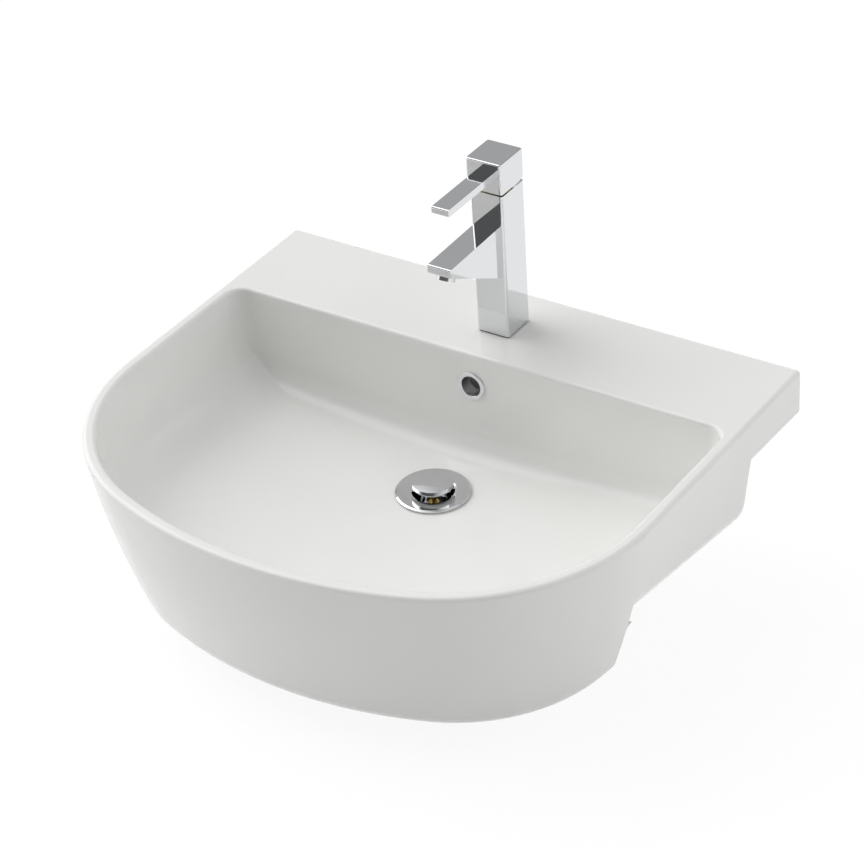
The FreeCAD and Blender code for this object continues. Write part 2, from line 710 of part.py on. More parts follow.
def basin():
    """Glazed ceramic body with its bowl, deck, apron, overflow passage and holes."""
    bowl = bowl_space()
    body = outer_body().fuse([waste_boss(), duct_ridge()])
    body = body.cut([bowl, ledge_hollow()])
    mouth = [edge for edge in edges_at(body, RIM_Z) if on_bowl(bowl, edge)]
    body = body.makeFillet(RIM_INNER_ROUND, mouth)
    return body.cut([overflow_duct(), overflow_hole(), tap_hole(), waste_hole()])


def overflow_ring():
    """Flanged ring in the overflow hole, square to the bowl's rear wall."""
    centre, outward = overflow_frame()
    start = centre - outward * OVERFLOW_TUBE_LENGTH
    length = OVERFLOW_TUBE_LENGTH + OVERFLOW_FLANGE
    tube = Part.makeCylinder(OVERFLOW_TUBE_RADIUS, length, start, outward)
    flange = Part.makeCylinder(OVERFLOW_FLANGE_RADIUS, OVERFLOW_FLANGE, centre, outward)
    bore = Part.makeCylinder(OVERFLOW_BORE, length, start, outward)
    ring = tube.fuse(flange).cut(bore).removeSplitter()
    front = centre + outward * OVERFLOW_FLANGE
    rounded = [edge for edge in ring.Edges
               if abs((edge.CenterOfMass - front).dot(outward)) < TOLERANCE]
    return ring.makeFillet(OVERFLOW_FLANGE_ROUND, rounded)


# Tap

def tap_passages():
    """Water ways up to the cartridge and the studs' and hoses' sockets in the body's base."""
    base_z = RIM_Z + TAP_SEAL
    spaces = []
    for side in (-1, 1):
        x = side * INLET_SPREAD
        spaces.append(rod(INLET_RADIUS, (base_z, base_z + INLET_DEPTH), x, INLET_Y))
        spaces.append(rod(WATERWAY_RADIUS, (base_z, BORE_FLOOR_Z - WATERWAY_ROOF), x, INLET_Y))
        spaces.append(rod(PORT_RADIUS, (base_z, BORE_FLOOR_Z + PAST), x, INLET_Y))
    spaces.append(rod(STUD_RADIUS + THREAD_FIT, (base_z, base_z + STUD_SOCKET), 0, STUD_Y))
    channel_z = RIM_Z + CHANNEL_HEIGHT
    spaces.append(rod(CHANNEL_RADIUS, (channel_z, BORE_FLOOR_Z + PAST), 0, OUTLET_Y))
    channel_length = OUTLET_Y - (TAP_FRONT_Y - AERATOR_REACH)
    spaces.append(Part.makeCylinder(CHANNEL_RADIUS, channel_length,
                                    V(0, OUTLET_Y, channel_z), Y_AXIS * -1))
    return spaces


def spout_underside():
    """Point under the spout on the aerator's axis, and the way up from there into the spout."""
    rise = SPOUT_TIP_TOP - SPOUT_TIP - SPOUT_ROOT
    slope = math.atan2(rise, SPOUT_REACH)
    point = V(0, TAP_FRONT_Y - AERATOR_REACH,
              RIM_Z + SPOUT_ROOT + AERATOR_REACH * math.tan(slope))
    inward = V(0, math.sin(slope), math.cos(slope))
    return point, inward


def spout_rod(radius, start, end):
    """Cylinder on the aerator's axis between two lengths from the spout's underside."""
    point, inward = spout_underside()
    return Part.makeCylinder(radius, end - start, point + inward * start, inward)


def tap_body():
    """Square body and wedge spout in one casting, bored for the cartridge and the aerator."""
    base_z = RIM_Z + TAP_SEAL
    y_range = (TAP_FRONT_Y, TAP_FRONT_Y + TAP_DEPTH)
    body = rounded_bar(TAP_WIDTH, y_range, (base_z, TAP_TOP_Z), TAP_EDGE_ROUND)
    tip_y = TAP_FRONT_Y - SPOUT_REACH
    corners = [
        (TAP_Y, RIM_Z + SPOUT_ROOT, 0),
        (TAP_FRONT_Y, RIM_Z + SPOUT_ROOT, 0),
        (tip_y, RIM_Z + SPOUT_TIP_TOP - SPOUT_TIP, SPOUT_ROUND),
        (tip_y, RIM_Z + SPOUT_TIP_TOP, SPOUT_ROUND),
        (TAP_FRONT_Y, RIM_Z + SPOUT_TOP, 0),
        (TAP_Y, RIM_Z + SPOUT_TOP, 0),
    ]
    spout = side_profile(corners, (-SPOUT_WIDTH / 2, SPOUT_WIDTH / 2))
    spaces = tap_passages()
    spaces.append(rod(BODY_BORE, (BORE_FLOOR_Z, TAP_TOP_Z + PAST), 0, TAP_Y))
    spaces.append(rod(BODY_COUNTERBORE, (HOUSING_TOP_Z, TAP_TOP_Z + PAST), 0, TAP_Y))
    spaces.append(spout_rod(AERATOR_BORE, -AERATOR_BORE, AERATOR_BORE_DEPTH))
    return body.fuse(spout).cut(spaces).removeSplitter()


def tap_base_seal():
    """Flat seal between the tap and the deck, open for the stud and the hoses."""
    width = TAP_WIDTH - 2 * TAP_SEAL_INSET
    y_range = (TAP_FRONT_Y + TAP_SEAL_INSET, TAP_FRONT_Y + TAP_DEPTH - TAP_SEAL_INSET)
    seal = rounded_bar(width, y_range, (RIM_Z, RIM_Z + TAP_SEAL), TAP_EDGE_ROUND)
    opening = rod(TAP_HOLE_RADIUS, (RIM_Z - PAST, RIM_Z + TAP_SEAL + PAST), 0, TAP_Y)
    return seal.cut(opening)


# Cartridge

def ports():
    """Places of the two inlet ports and the outlet port, in plan."""
    return [(-INLET_SPREAD, INLET_Y), (INLET_SPREAD, INLET_Y), (0, OUTLET_Y)]


def port_holes(z_range):
    return [rod(PORT_RADIUS, z_range, x, y) for x, y in ports()]


def cartridge_housing():
    """Cup that holds the discs and the carrier, with a lid that the neck passes through."""
    outside = rod(HOUSING_RADIUS, (HOUSING_Z, HOUSING_TOP_Z), 0, TAP_Y)
    inside = rod(HOUSING_BORE, (FIXED_DISC_Z, HOUSING_TOP_Z - HOUSING_LID), 0, TAP_Y)
    mouth = rod(HOUSING_MOUTH, (FIXED_DISC_Z, HOUSING_TOP_Z + PAST), 0, TAP_Y)
    return outside.cut([inside, mouth] + port_holes((HOUSING_Z - PAST, FIXED_DISC_Z + PAST)))


def cartridge_base_seals():
    """Three ring seals under the cartridge, one round each port."""
    z_range = (BORE_FLOOR_Z, HOUSING_Z)
    rings = [pipe(BASE_SEAL_RADIUS, BASE_SEAL_BORE, z_range, x, y) for x, y in ports()]
    return Part.makeCompound(rings)


def fixed_ceramic_disc():
    disc = rod(FIXED_DISC_RADIUS, (FIXED_DISC_Z, MOVING_DISC_Z), 0, TAP_Y)
    return disc.cut(port_holes((FIXED_DISC_Z - PAST, MOVING_DISC_Z + PAST)))


def moving_ceramic_disc():
    """Upper disc with the pocket for the spindle's ball and a mixing hollow underneath."""
    disc = rod(MOVING_DISC_RADIUS, (MOVING_DISC_Z, MOVING_DISC_TOP_Z), 0, TAP_Y)
    pocket = rod(BALL_RADIUS + BALL_FIT, (MOVING_DISC_TOP_Z - POCKET_DEPTH, MOVING_DISC_TOP_Z + PAST),
                 0, TAP_Y)
    return disc.cut(pocket)


def cartridge_carrier():
    """Turning carrier with a neck, slotted so that the spindle can rock."""
    carrier = rod(CARRIER_RADIUS, (CARRIER_UNDER_Z, CARRIER_TOP_Z), 0, TAP_Y)
    neck_top_z = TAP_TOP_Z - NECK_BELOW_TOP
    neck = rod(NECK_RADIUS, (CARRIER_UNDER_Z, neck_top_z), 0, TAP_Y)
    half = SPINDLE_SIZE / 2 + SPINDLE_FIT
    rocked = math.tan(LIFT_ANGLE)
    top_z = neck_top_z + PAST
    bottom_z = CARRIER_UNDER_Z - PAST
    corners = [
        (TAP_Y - half, top_z, 0),
        (TAP_Y - half, PIVOT_Z, 0),
        (TAP_Y - half - (PIVOT_Z - bottom_z) * rocked, bottom_z, 0),
        (TAP_Y + half, bottom_z, 0),
        (TAP_Y + half, PIVOT_Z, 0),
        (TAP_Y + half + (top_z - PIVOT_Z) * rocked, top_z, 0),
    ]
    half_slot = SPINDLE_SIZE / 2 + SPINDLE_SIDE_FIT
    slot = side_profile(corners, (-half_slot, half_slot))
    cross_hole = Part.makeCylinder(PIN_RADIUS + PIN_FIT, 2 * CARRIER_RADIUS,
                                   V(-CARRIER_RADIUS, TAP_Y, PIVOT_Z), X_AXIS)
    return carrier.fuse(neck).cut([slot, cross_hole])


def spindle_pin():
    """Cross pin on which the spindle rocks."""
    return Part.makeCylinder(PIN_RADIUS, PIN_LENGTH, V(-PIN_LENGTH / 2, TAP_Y, PIVOT_Z), X_AXIS)


def spindle():
    """Square spindle with a ball at its foot, which moves the upper disc."""
    half = SPINDLE_SIZE / 2
    neck_z = PIVOT_Z - half
    top_z = HEAD_UNDER_Z + SOCKET_DEPTH
    stem = box((-half, half), (TAP_Y - half, TAP_Y + half), (neck_z, top_z))
    neck = rod(SPINDLE_NECK / 2, (BALL_Z, neck_z), 0, TAP_Y)
    ball = Part.makeSphere(BALL_RADIUS, V(0, TAP_Y, BALL_Z))
    hole = Part.makeCylinder(PIN_RADIUS + PIN_FIT, SPINDLE_SIZE, V(-half, TAP_Y, PIVOT_Z), X_AXIS)
    return stem.fuse([neck, ball]).cut(hole)


def cartridge_nut():
    """Ring nut that holds the cartridge down."""
    return pipe(NUT_RADIUS, HOUSING_MOUTH, (HOUSING_TOP_Z, NUT_TOP_Z), 0, TAP_Y)


# Handle

def lift_relief():
    """Room under the head that lets it rock back clear of the body's top."""
    reach = 2 * HEAD_DEPTH
    room = box((-reach, reach), (TAP_Y - reach, TAP_Y + reach),
               (TAP_TOP_Z - reach, TAP_TOP_Z + LIFT_CLEARANCE))
    room.rotate(V(0, TAP_Y, PIVOT_Z), X_AXIS, math.degrees(LIFT_ANGLE))
    return room


def spindle_socket():
    half = SPINDLE_SIZE / 2 + SOCKET_FIT
    top_z = HEAD_UNDER_Z + SOCKET_DEPTH + SOCKET_END_GAP
    return box((-half, half), (TAP_Y - half, TAP_Y + half), (HEAD_UNDER_Z - PAST, top_z))


def grub_rod(radius, front_y, rear_y):
    """Cylinder on the grub screw's axis between two distances from the wall."""
    start = V(0, front_y, HEAD_UNDER_Z + GRUB_HEIGHT)
    return Part.makeCylinder(radius, rear_y - front_y, start, Y_AXIS)


def head_rear_y():
    return TAP_Y - HEAD_FRONT + HEAD_DEPTH


def grub_front_y():
    """Grub screw's tip, against the spindle."""
    return TAP_Y + SPINDLE_SIZE / 2 + SOCKET_FIT


def mixer_handle():
    """Square head and flat lever in one piece."""
    front_y = TAP_Y - HEAD_FRONT
    head = rounded_bar(HEAD_WIDTH, (front_y, head_rear_y()),
                       (HEAD_UNDER_Z, HEAD_UNDER_Z + HEAD_HEIGHT), TAP_EDGE_ROUND)
    head = head.makeFillet(HEAD_ROUND, edges_at(head, HEAD_UNDER_Z + HEAD_HEIGHT))
    lever_top_z = RIM_Z + LEVER_TOP
    corners = [
        (TAP_Y, lever_top_z - LEVER_THICKNESS, 0),
        (front_y - LEVER_LENGTH, lever_top_z - LEVER_THICKNESS, LEVER_ROUND),
        (front_y - LEVER_LENGTH, lever_top_z, LEVER_ROUND),
        (TAP_Y, lever_top_z, 0),
    ]
    lever = side_profile(corners, (-LEVER_WIDTH / 2, LEVER_WIDTH / 2))
    spaces = [
        lift_relief(),
        spindle_socket(),
        grub_rod(GRUB_RADIUS + THREAD_FIT, TAP_Y, head_rear_y() + PAST),
        grub_rod(INDEX_RADIUS + THREAD_FIT, head_rear_y() - INDEX_DEPTH, head_rear_y() + PAST),
    ]
    return head.fuse(lever).cut(spaces).removeSplitter()


def handle_grub_screw():
    front_y = grub_front_y()
    return grub_rod(GRUB_RADIUS, front_y, front_y + GRUB_LENGTH)


def index_plug():
    """Cap over the grub screw's hole."""
    return grub_rod(INDEX_RADIUS, head_rear_y() - INDEX_DEPTH, head_rear_y())


# Aerator

def aerator_housing():
    """Collared sleeve in the spout with a lip at its mouth."""
    sleeve_end = AERATOR_BORE_DEPTH - AERATOR_SEAL
    collar = spout_rod(AERATOR_COLLAR_RADIUS, -AERATOR_PROUD, 0)
    tube = spout_rod(AERATOR_TUBE_RADIUS, -AERATOR_PROUD, sleeve_end)
    bore = spout_rod(AERATOR_TUBE_BORE, AERATOR_LIP - AERATOR_PROUD, sleeve_end)
    mouth = spout_rod(AERATOR_LIP_BORE, -AERATOR_PROUD, 0)
    return collar.fuse(tube).cut([bore, mouth]).removeSplitter()


def aerator_insert():
    """Disc with rings of holes, seated on the housing's lip."""
    start = AERATOR_LIP - AERATOR_PROUD
    insert = spout_rod(INSERT_RADIUS, start, start + INSERT_HEIGHT)
    point, inward = spout_underside()
    across = inward.cross(X_AXIS)
    holes = [spout_rod(INSERT_HOLE_RADIUS, start, start + INSERT_HEIGHT)]
    rings = ((INNER_RING_HOLES, INNER_RING_RADIUS), (OUTER_RING_HOLES, OUTER_RING_RADIUS))
    for count, ring_radius in rings:
        for index in range(count):
            angle = 2 * math.pi * index / count
            offset = (X_AXIS * math.cos(angle) + across * math.sin(angle)) * ring_radius
            hole = holes[0].copy()
            hole.translate(offset)
            holes.append(hole)
    return insert.cut(holes)


def aerator_seal():
    """Ring seal between the housing and the end of its bore."""
    start = AERATOR_BORE_DEPTH - AERATOR_SEAL
    ring = spout_rod(AERATOR_SEAL_RADIUS, start, AERATOR_BORE_DEPTH)
    return ring.cut(spout_rod(AERATOR_SEAL_BORE, start, AERATOR_BORE_DEPTH))


# Tap fixings

def horseshoe(z_range):
    """Disc round the stud with a slot for the hoses, open to the rear."""
    disc = rod(HORSESHOE_RADIUS, z_range, 0, TAP_Y)
    slot = box((-HORSESHOE_SLOT / 2, HORSESHOE_SLOT / 2),
               (TAP_Y - HORSESHOE_WEB, TAP_Y + HORSESHOE_RADIUS + PAST), z_range)
    stud_hole = rod(STUD_RADIUS + THREAD_FIT, z_range, 0, STUD_Y)
    return disc.cut([slot, stud_hole])


def horseshoe_seal():
    return horseshoe((DECK_UNDER_Z - HORSESHOE_SEAL, DECK_UNDER_Z))


def horseshoe_washer():
    top_z = DECK_UNDER_Z - HORSESHOE_SEAL
    return horseshoe((top_z - HORSESHOE_WASHER, top_z))


def tap_fixing_stud():
    """Threaded rod from the tap's base through the deck."""
    top_z = RIM_Z + TAP_SEAL + STUD_SOCKET
    return rod(STUD_RADIUS, (RIM_Z - STUD_DROP, top_z), 0, STUD_Y)


def fixing_nut():
    """Hexagon nut on the stud, up against the washer."""
    top_z = DECK_UNDER_Z - HORSESHOE_SEAL - HORSESHOE_WASHER
    corner_radius = NUT_ACROSS_FLATS / math.sqrt(3)
    base = V(0, STUD_Y, top_z - FIXING_NUT_HEIGHT)
    corners = [base + around(math.pi * side / 3) * corner_radius for side in range(6)]
    hexagon = Part.Face(Part.makePolygon(corners + [corners[0]]))
    nut = hexagon.extrude(Z_AXIS * FIXING_NUT_HEIGHT)
    return nut.cut(rod(STUD_RADIUS + THREAD_FIT, (base.z - PAST, top_z + PAST), 0, STUD_Y))


# Waste

def waste_flange():
    """Dished flange, slotted tube and tail in one piece, with a spider for the click unit."""
    thread_end = THREAD_END_Z - SEAT_Z
    tail_top = TAIL_TOP_Z - SEAT_Z
    tail_end = TAIL_END_Z - SEAT_Z
    profile = [
        (TUBE_RADIUS, WASTE_SEAL),
        (FLANGE_RADIUS, WASTE_SEAL),
        (FLANGE_RADIUS, FLANGE_EDGE),
        DISH_RIM,
        DISH_FOOT,
        DISH_LIP,
        (TUBE_BORE, TUBE_SHOULDER),
        (TUBE_BORE, thread_end + TAIL_FUNNEL),
        (TAIL_BORE, thread_end),
        (TAIL_BORE, tail_end),
        (TAIL_RADIUS, tail_end),
        (TAIL_RADIUS, tail_top),
        (TAIL_BORE + NECK_WALL, tail_top),
        (TAIL_BORE + NECK_WALL, thread_end),
        (TUBE_RADIUS, thread_end),
    ]
    flange = turned(profile, 0, WASTE_Y, SEAT_Z)
    slot_z = (SEAT_Z + SLOT_TOP - SLOT_HEIGHT, SEAT_Z + SLOT_TOP)
    slots = box((-SLOT_WIDTH / 2, SLOT_WIDTH / 2),
                (WASTE_Y - FLANGE_RADIUS, WASTE_Y + FLANGE_RADIUS), slot_z)
    return flange.cut(slots).fuse(spider())


def spider():
    """Bar across the waste's tube with a boss in the middle."""
    reach = (TUBE_BORE + TUBE_RADIUS) / 2
    z_range = (SEAT_Z + SPIDER_TOP - SPIDER_HEIGHT, SEAT_Z + SPIDER_TOP)
    bar = box((-reach, reach), (WASTE_Y - SPIDER_WIDTH / 2, WASTE_Y + SPIDER_WIDTH / 2), z_range)
    boss = rod(SPIDER_BOSS_RADIUS, z_range, 0, WASTE_Y)
    return bar.fuse(boss).cut(rod(CLICK_RADIUS + THREAD_FIT, z_range, 0, WASTE_Y))


def waste_top_seal():
    z_range = (SEAT_Z, SEAT_Z + WASTE_SEAL)
    return pipe(WASTE_SEAL_RADIUS, WASTE_HOLE_RADIUS, z_range, 0, WASTE_Y)


def waste_bottom_seal():
    z_range = (BOSS_UNDER_Z - BOTTOM_SEAL, BOSS_UNDER_Z)
    return pipe(BOTTOM_SEAL_RADIUS, TUBE_RADIUS + THREAD_FIT, z_range, 0, WASTE_Y)


def waste_back_nut():
    """Round nut with lugs, on the waste's threaded tube."""
    z_range = (BACK_NUT_Z, BACK_NUT_Z + BACK_NUT)
    nut = rod(BACK_NUT_RADIUS - BACK_NUT_LUG, z_range, 0, WASTE_Y)
    half = BACK_NUT_LUG_WIDTH / 2
    lugs = []
    for index in range(BACK_NUT_LUGS):
        lug = box((0, BACK_NUT_RADIUS), (WASTE_Y - half, WASTE_Y + half), z_range)
        lug.rotate(V(0, WASTE_Y, 0), Z_AXIS, 360 * index / BACK_NUT_LUGS)
        lugs.append(lug)
    nut = nut.fuse(lugs).cut(rod(TUBE_RADIUS + THREAD_FIT, z_range, 0, WASTE_Y))
    return nut.removeSplitter()


def waste_plug():
    """Domed cap with a hub that holds its seal."""
    crown = PLUG_THICKNESS + PLUG_DOME
    cap = rod(PLUG_RADIUS, (PLUG_UNDER_Z, PLUG_UNDER_Z + crown), 0, WASTE_Y)
    dome_radius = (PLUG_RADIUS ** 2 + PLUG_DOME ** 2) / (2 * PLUG_DOME)
    dome = Part.makeSphere(dome_radius, V(0, WASTE_Y, PLUG_UNDER_Z + crown - dome_radius))
    hub = rod(PLUG_HUB_RADIUS, (PLUG_UNDER_Z - PLUG_HUB_HEIGHT, PLUG_UNDER_Z), 0, WASTE_Y)
    return cap.common(dome).fuse(hub).removeSplitter()


def plug_seal():
    """Ring under the cap's edge, bevelled where it closes on the dish."""
    lip_radius, lip_depth = PLUG_SEAL_LIP
    profile = [
        (PLUG_SEAL_BORE, 0),
        (PLUG_SEAL_RADIUS, 0),
        (PLUG_SEAL_RADIUS, -PLUG_SEAL_EDGE),
        (lip_radius, -lip_depth),
        (PLUG_SEAL_BORE, -lip_depth),
    ]
    return turned(profile, 0, WASTE_Y, PLUG_UNDER_Z)


def plug_stem():
    """Stem from the cap's hub down into the click unit, with a collar on the spring."""
    hub_z = PLUG_UNDER_Z - PLUG_HUB_HEIGHT
    stem = rod(STEM_RADIUS, (STEM_COLLAR_UNDER_Z - STEM_TAIL, hub_z), 0, WASTE_Y)
    collar = rod(STEM_COLLAR_RADIUS, (STEM_COLLAR_UNDER_Z, STEM_COLLAR_TOP_Z), 0, WASTE_Y)
    return stem.fuse(collar)


def click_mechanism():
    """Closed sleeve, screwed into the spider, that holds the spring and latches the stem."""
    sleeve = rod(CLICK_RADIUS, (CLICK_UNDER_Z, CLICK_TOP_Z), 0, WASTE_Y)
    collar_z = SEAT_Z + SPIDER_TOP
    collar = rod(CLICK_COLLAR_RADIUS, (collar_z, collar_z + CLICK_COLLAR), 0, WASTE_Y)
    cavity = rod(CLICK_BORE, (CLICK_UNDER_Z + CLICK_BASE, CLICK_TOP_Z - CLICK_LID), 0, WASTE_Y)
    mouth = rod(STEM_RADIUS + STEM_FIT, (CLICK_UNDER_Z + CLICK_BASE, CLICK_TOP_Z + PAST), 0, WASTE_Y)
    return sleeve.fuse(collar).cut([cavity, mouth])


def plug_spring():
    """Coil spring, as a sleeve, between the click unit's base and the stem's collar."""
    z_range = (CLICK_UNDER_Z + CLICK_BASE, STEM_COLLAR_UNDER_Z)
    return pipe(SPRING_RADIUS, SPRING_RADIUS - SPRING_WIRE, z_range, 0, WASTE_Y)


PARTS = {
    "basin": basin,
    "overflow_ring": overflow_ring,
    "tap_body": tap_body,
    "mixer_handle": mixer_handle,
    "aerator_housing": aerator_housing,
    "waste_flange": waste_flange,
    "waste_plug": waste_plug,
    "tap_base_seal": tap_base_seal,
    "cartridge_housing": cartridge_housing,
    "fixed_ceramic_disc": fixed_ceramic_disc,
    "moving_ceramic_disc": moving_ceramic_disc,
    "cartridge_carrier": cartridge_carrier,
    "spindle": spindle,
    "spindle_pin": spindle_pin,
    "cartridge_base_seals": cartridge_base_seals,
    "cartridge_nut": cartridge_nut,
    "handle_grub_screw": handle_grub_screw,
    "index_plug": index_plug,
    "aerator_insert": aerator_insert,
    "aerator_seal": aerator_seal,
    "tap_fixing_stud": tap_fixing_stud,
    "horseshoe_seal": horseshoe_seal,
    "horseshoe_washer": horseshoe_washer,
    "fixing_nut": fixing_nut,
    "waste_top_seal": waste_top_seal,
    "waste_bottom_seal": waste_bottom_seal,
    "waste_back_nut": waste_back_nut,
    "plug_stem": plug_stem,
    "plug_seal": plug_seal,
    "click_mechanism": click_mechanism,
    "plug_spring": plug_spring,
}


def main():
    os.makedirs("parts", exist_ok=True)
    for name, make in PARTS.items():
        make().exportStep(os.path.join("parts", name + ".step"))


main()
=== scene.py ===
import math

import bmesh
import bpy
from mathutils import Matrix, Vector


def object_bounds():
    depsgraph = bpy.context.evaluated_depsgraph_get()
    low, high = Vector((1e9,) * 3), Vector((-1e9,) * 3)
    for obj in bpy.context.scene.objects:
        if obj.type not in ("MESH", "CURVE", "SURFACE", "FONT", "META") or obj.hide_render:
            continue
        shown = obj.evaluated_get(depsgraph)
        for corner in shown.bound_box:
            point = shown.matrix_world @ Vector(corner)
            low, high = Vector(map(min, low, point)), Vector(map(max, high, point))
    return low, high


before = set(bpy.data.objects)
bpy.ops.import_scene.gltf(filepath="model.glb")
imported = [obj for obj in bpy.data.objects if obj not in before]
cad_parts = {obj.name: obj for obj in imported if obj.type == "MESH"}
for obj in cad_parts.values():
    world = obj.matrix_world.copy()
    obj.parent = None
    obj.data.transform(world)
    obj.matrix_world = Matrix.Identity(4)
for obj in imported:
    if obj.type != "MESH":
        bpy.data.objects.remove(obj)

# A white ceramic semi-recessed basin with a chrome single-lever tap, in metres.
# +Z is up, +Y goes into the wall, and the origin is the centre of the ledge's face on the wall.

CAD_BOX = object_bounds()
MM = 0.001

# Camera, as the photograph was taken: azimuth from the front towards +X, lengths in metres
CAMERA_AZIMUTH = math.radians(34.8)
CAMERA_ELEVATION = math.radians(33.77)
CAMERA_ROLL = math.radians(-3.81)
CAMERA_TARGET = Vector((0.03696, -0.2390, 0.0225))
CAMERA_DISTANCE = 2.6142
CAMERA_LENS = 124.67         # in millimetres, as is the sensor
CAMERA_SENSOR = 36.0
CAMERA_REACH = 50.0

# Finishes: patches, relief and depths in millimetres
GLAZE_DRIFT = 90             # the glaze's tone drifts this slowly across the basin
GLAZE_RIPPLE = 14
GLAZE_RIPPLE_DEPTH = 0.4
GLAZE_RIPPLE_STRENGTH = 0.03
GLAZE_ROUGHNESS = 0.16
GLAZE_IOR = 1.5
BARE_GRAIN = 1.5             # ground china where there is no glaze
BARE_ROUGHNESS = 0.75
WALL_FACE_DEPTH = 0.05       # of the basin at the wall that is bare
BEYOND_WALL = 1.0            # metres, more than the basin reaches
CHROME_HAZE = 9
CHROME_ROUGHNESS = (0.03, 0.09)
RING_DEPTH = 0.02            # rings that a tool leaves
RING_STRENGTH = 0.25
RING_WOBBLE = 0.4
RING_DULLING = 0.12          # roughness that a ring's crest adds
WAVES_PER_UNIT = 0.314       # scale at which the wave texture has one ring to a metre
MOULD_STRENGTH = 0.3

FLOOR_GAP = 0.0005
FLOOR_SIZE = 12.0
FLOOR_LIFT = 0.85            # share of the floor that glows, which no shadow darkens
FLOOR_GLOW = 1.06

# Studio: each soft box's azimuth from the wall towards +X, elevation, reach and strength
DOME_STRENGTH = 0.16
SOFT_BOXES = (
    (-90, 12, 50, 1.35),
    (-105, 10, 40, 0.7),
    (-90, 42, 45, 1.4),
    (-60, 42, 45, 0.35),
    (-90, 68, 40, 1.3),
    (0, 12, 50, 0.3),
    (50, 10, 40, 0.9),
    (90, 10, 40, 0.35),
    (90, 42, 45, 0.75),
    (60, 42, 45, 0.25),
)
SURROUND_TOP = 0.15          # sine of the elevation at which the white surround ends


def linear(code):
    """Linear RGBA of an sRGB hex colour."""
    channels = [int(code[start:start + 2], 16) / 255 for start in (1, 3, 5)]
    lit = [c / 12.92 if c <= 0.04045 else ((c + 0.055) / 1.055) ** 2.4 for c in channels]
    return (*lit, 1.0)


def add_node(tree, kind, inputs=None, **settings):
    """New node with its settings, and its inputs set to values or linked to sockets."""
    made = tree.nodes.new(kind)
    for name, value in settings.items():
        setattr(made, name, value)
    for name, value in (inputs or {}).items():
        if isinstance(value, bpy.types.NodeSocket):
            tree.links.new(value, made.inputs[name])
        else:
            made.inputs[name].default_value = value
    return made


def new_material(name):
    """Empty material, its tree and its Object coordinates."""
    material = bpy.data.materials.new(name)
    material.use_nodes = True
    tree = material.node_tree
    tree.nodes.clear()
    coordinates = add_node(tree, "ShaderNodeTexCoord")
    return material, tree, coordinates.outputs["Object"]


def finish_material(tree, shader):
    add_node(tree, "ShaderNodeOutputMaterial", {"Surface": shader.outputs[0]})


def speckle(tree, place, size, detail):
    """Noise whose patches have a size in millimetres."""
    return add_node(tree, "ShaderNodeTexNoise",
                    {"Vector": place, "Scale": 1 / (size * MM), "Detail": detail})


def colour_patches(tree, place, size, detail, dark, light):
    """Colour that drifts between two close tones in patches of a size in millimetres."""
    noise = speckle(tree, place, size, detail)
    return add_node(tree, "ShaderNodeMix",
                    {"Factor": noise.outputs["Fac"], "A": linear(dark), "B": linear(light)},
                    data_type="RGBA")


def grain(tree, place, size, detail, depth, strength):
    """Fine relief of a size and depth in millimetres."""
    noise = speckle(tree, place, size, detail)
    relief = add_node(tree, "ShaderNodeBump",
                      {"Height": noise.outputs["Fac"], "Strength": strength,
                       "Distance": depth * MM})
    return relief.outputs["Normal"]


def band(tree, value, low, high):
    """1 where a value lies between two sizes in metres, else 0."""
    above = add_node(tree, "ShaderNodeMath", {0: value, 1: low}, operation="GREATER_THAN")
    below = add_node(tree, "ShaderNodeMath", {0: value, 1: high}, operation="LESS_THAN")
    return add_node(tree, "ShaderNodeMath", {0: above.outputs[0], 1: below.outputs[0]},
                    operation="MULTIPLY").outputs[0]


def glazed_ceramic():
    """Vitreous china under a fired glaze: a soft gloss with faint ripples over a warm white.

    The face on the wall is ground flat and bare, so it is matt and a little creamier.
    """
    material, tree, place = new_material("glazed_vitreous_china")
    glaze = colour_patches(tree, place, GLAZE_DRIFT, 1.0, "#F1F1EF", "#F5F5F3")
    bare = colour_patches(tree, place, BARE_GRAIN, 4.0, "#DDD9CE", "#E8E4DA")
    axes = add_node(tree, "ShaderNodeSeparateXYZ", {"Vector": place})
    wall = band(tree, axes.outputs["Y"], -WALL_FACE_DEPTH * MM, BEYOND_WALL)
    tone = add_node(tree, "ShaderNodeMix",
                    {"Factor": wall, "A": glaze.outputs["Result"],
                     "B": bare.outputs["Result"]}, data_type="RGBA")
    roughness = add_node(tree, "ShaderNodeMapRange",
                         {"Value": wall, "To Min": GLAZE_ROUGHNESS, "To Max": BARE_ROUGHNESS})
    ripple = grain(tree, place, GLAZE_RIPPLE, 2.0, GLAZE_RIPPLE_DEPTH, GLAZE_RIPPLE_STRENGTH)
    shader = add_node(tree, "ShaderNodeBsdfPrincipled",
                      {"Base Color": tone.outputs["Result"],
                       "Roughness": roughness.outputs["Result"], "IOR": GLAZE_IOR,
                       "Normal": ripple})
    finish_material(tree, shader)
    return material


def chrome_plate():
    """Polished chrome on brass: a mirror with the faint haze that wiping leaves."""
    material, tree, place = new_material("polished_chrome_plate")
    haze = speckle(tree, place, CHROME_HAZE, 4.0)
    polished, wiped = CHROME_ROUGHNESS
    roughness = add_node(tree, "ShaderNodeMapRange",
                         {"Value": haze.outputs["Fac"], "To Min": polished, "To Max": wiped})
    shader = add_node(tree, "ShaderNodeBsdfPrincipled",
                      {"Base Color": linear("#DFE0E2"), "Metallic": 1.0,
                       "Roughness": roughness.outputs["Result"]})
    finish_material(tree, shader)
    return material


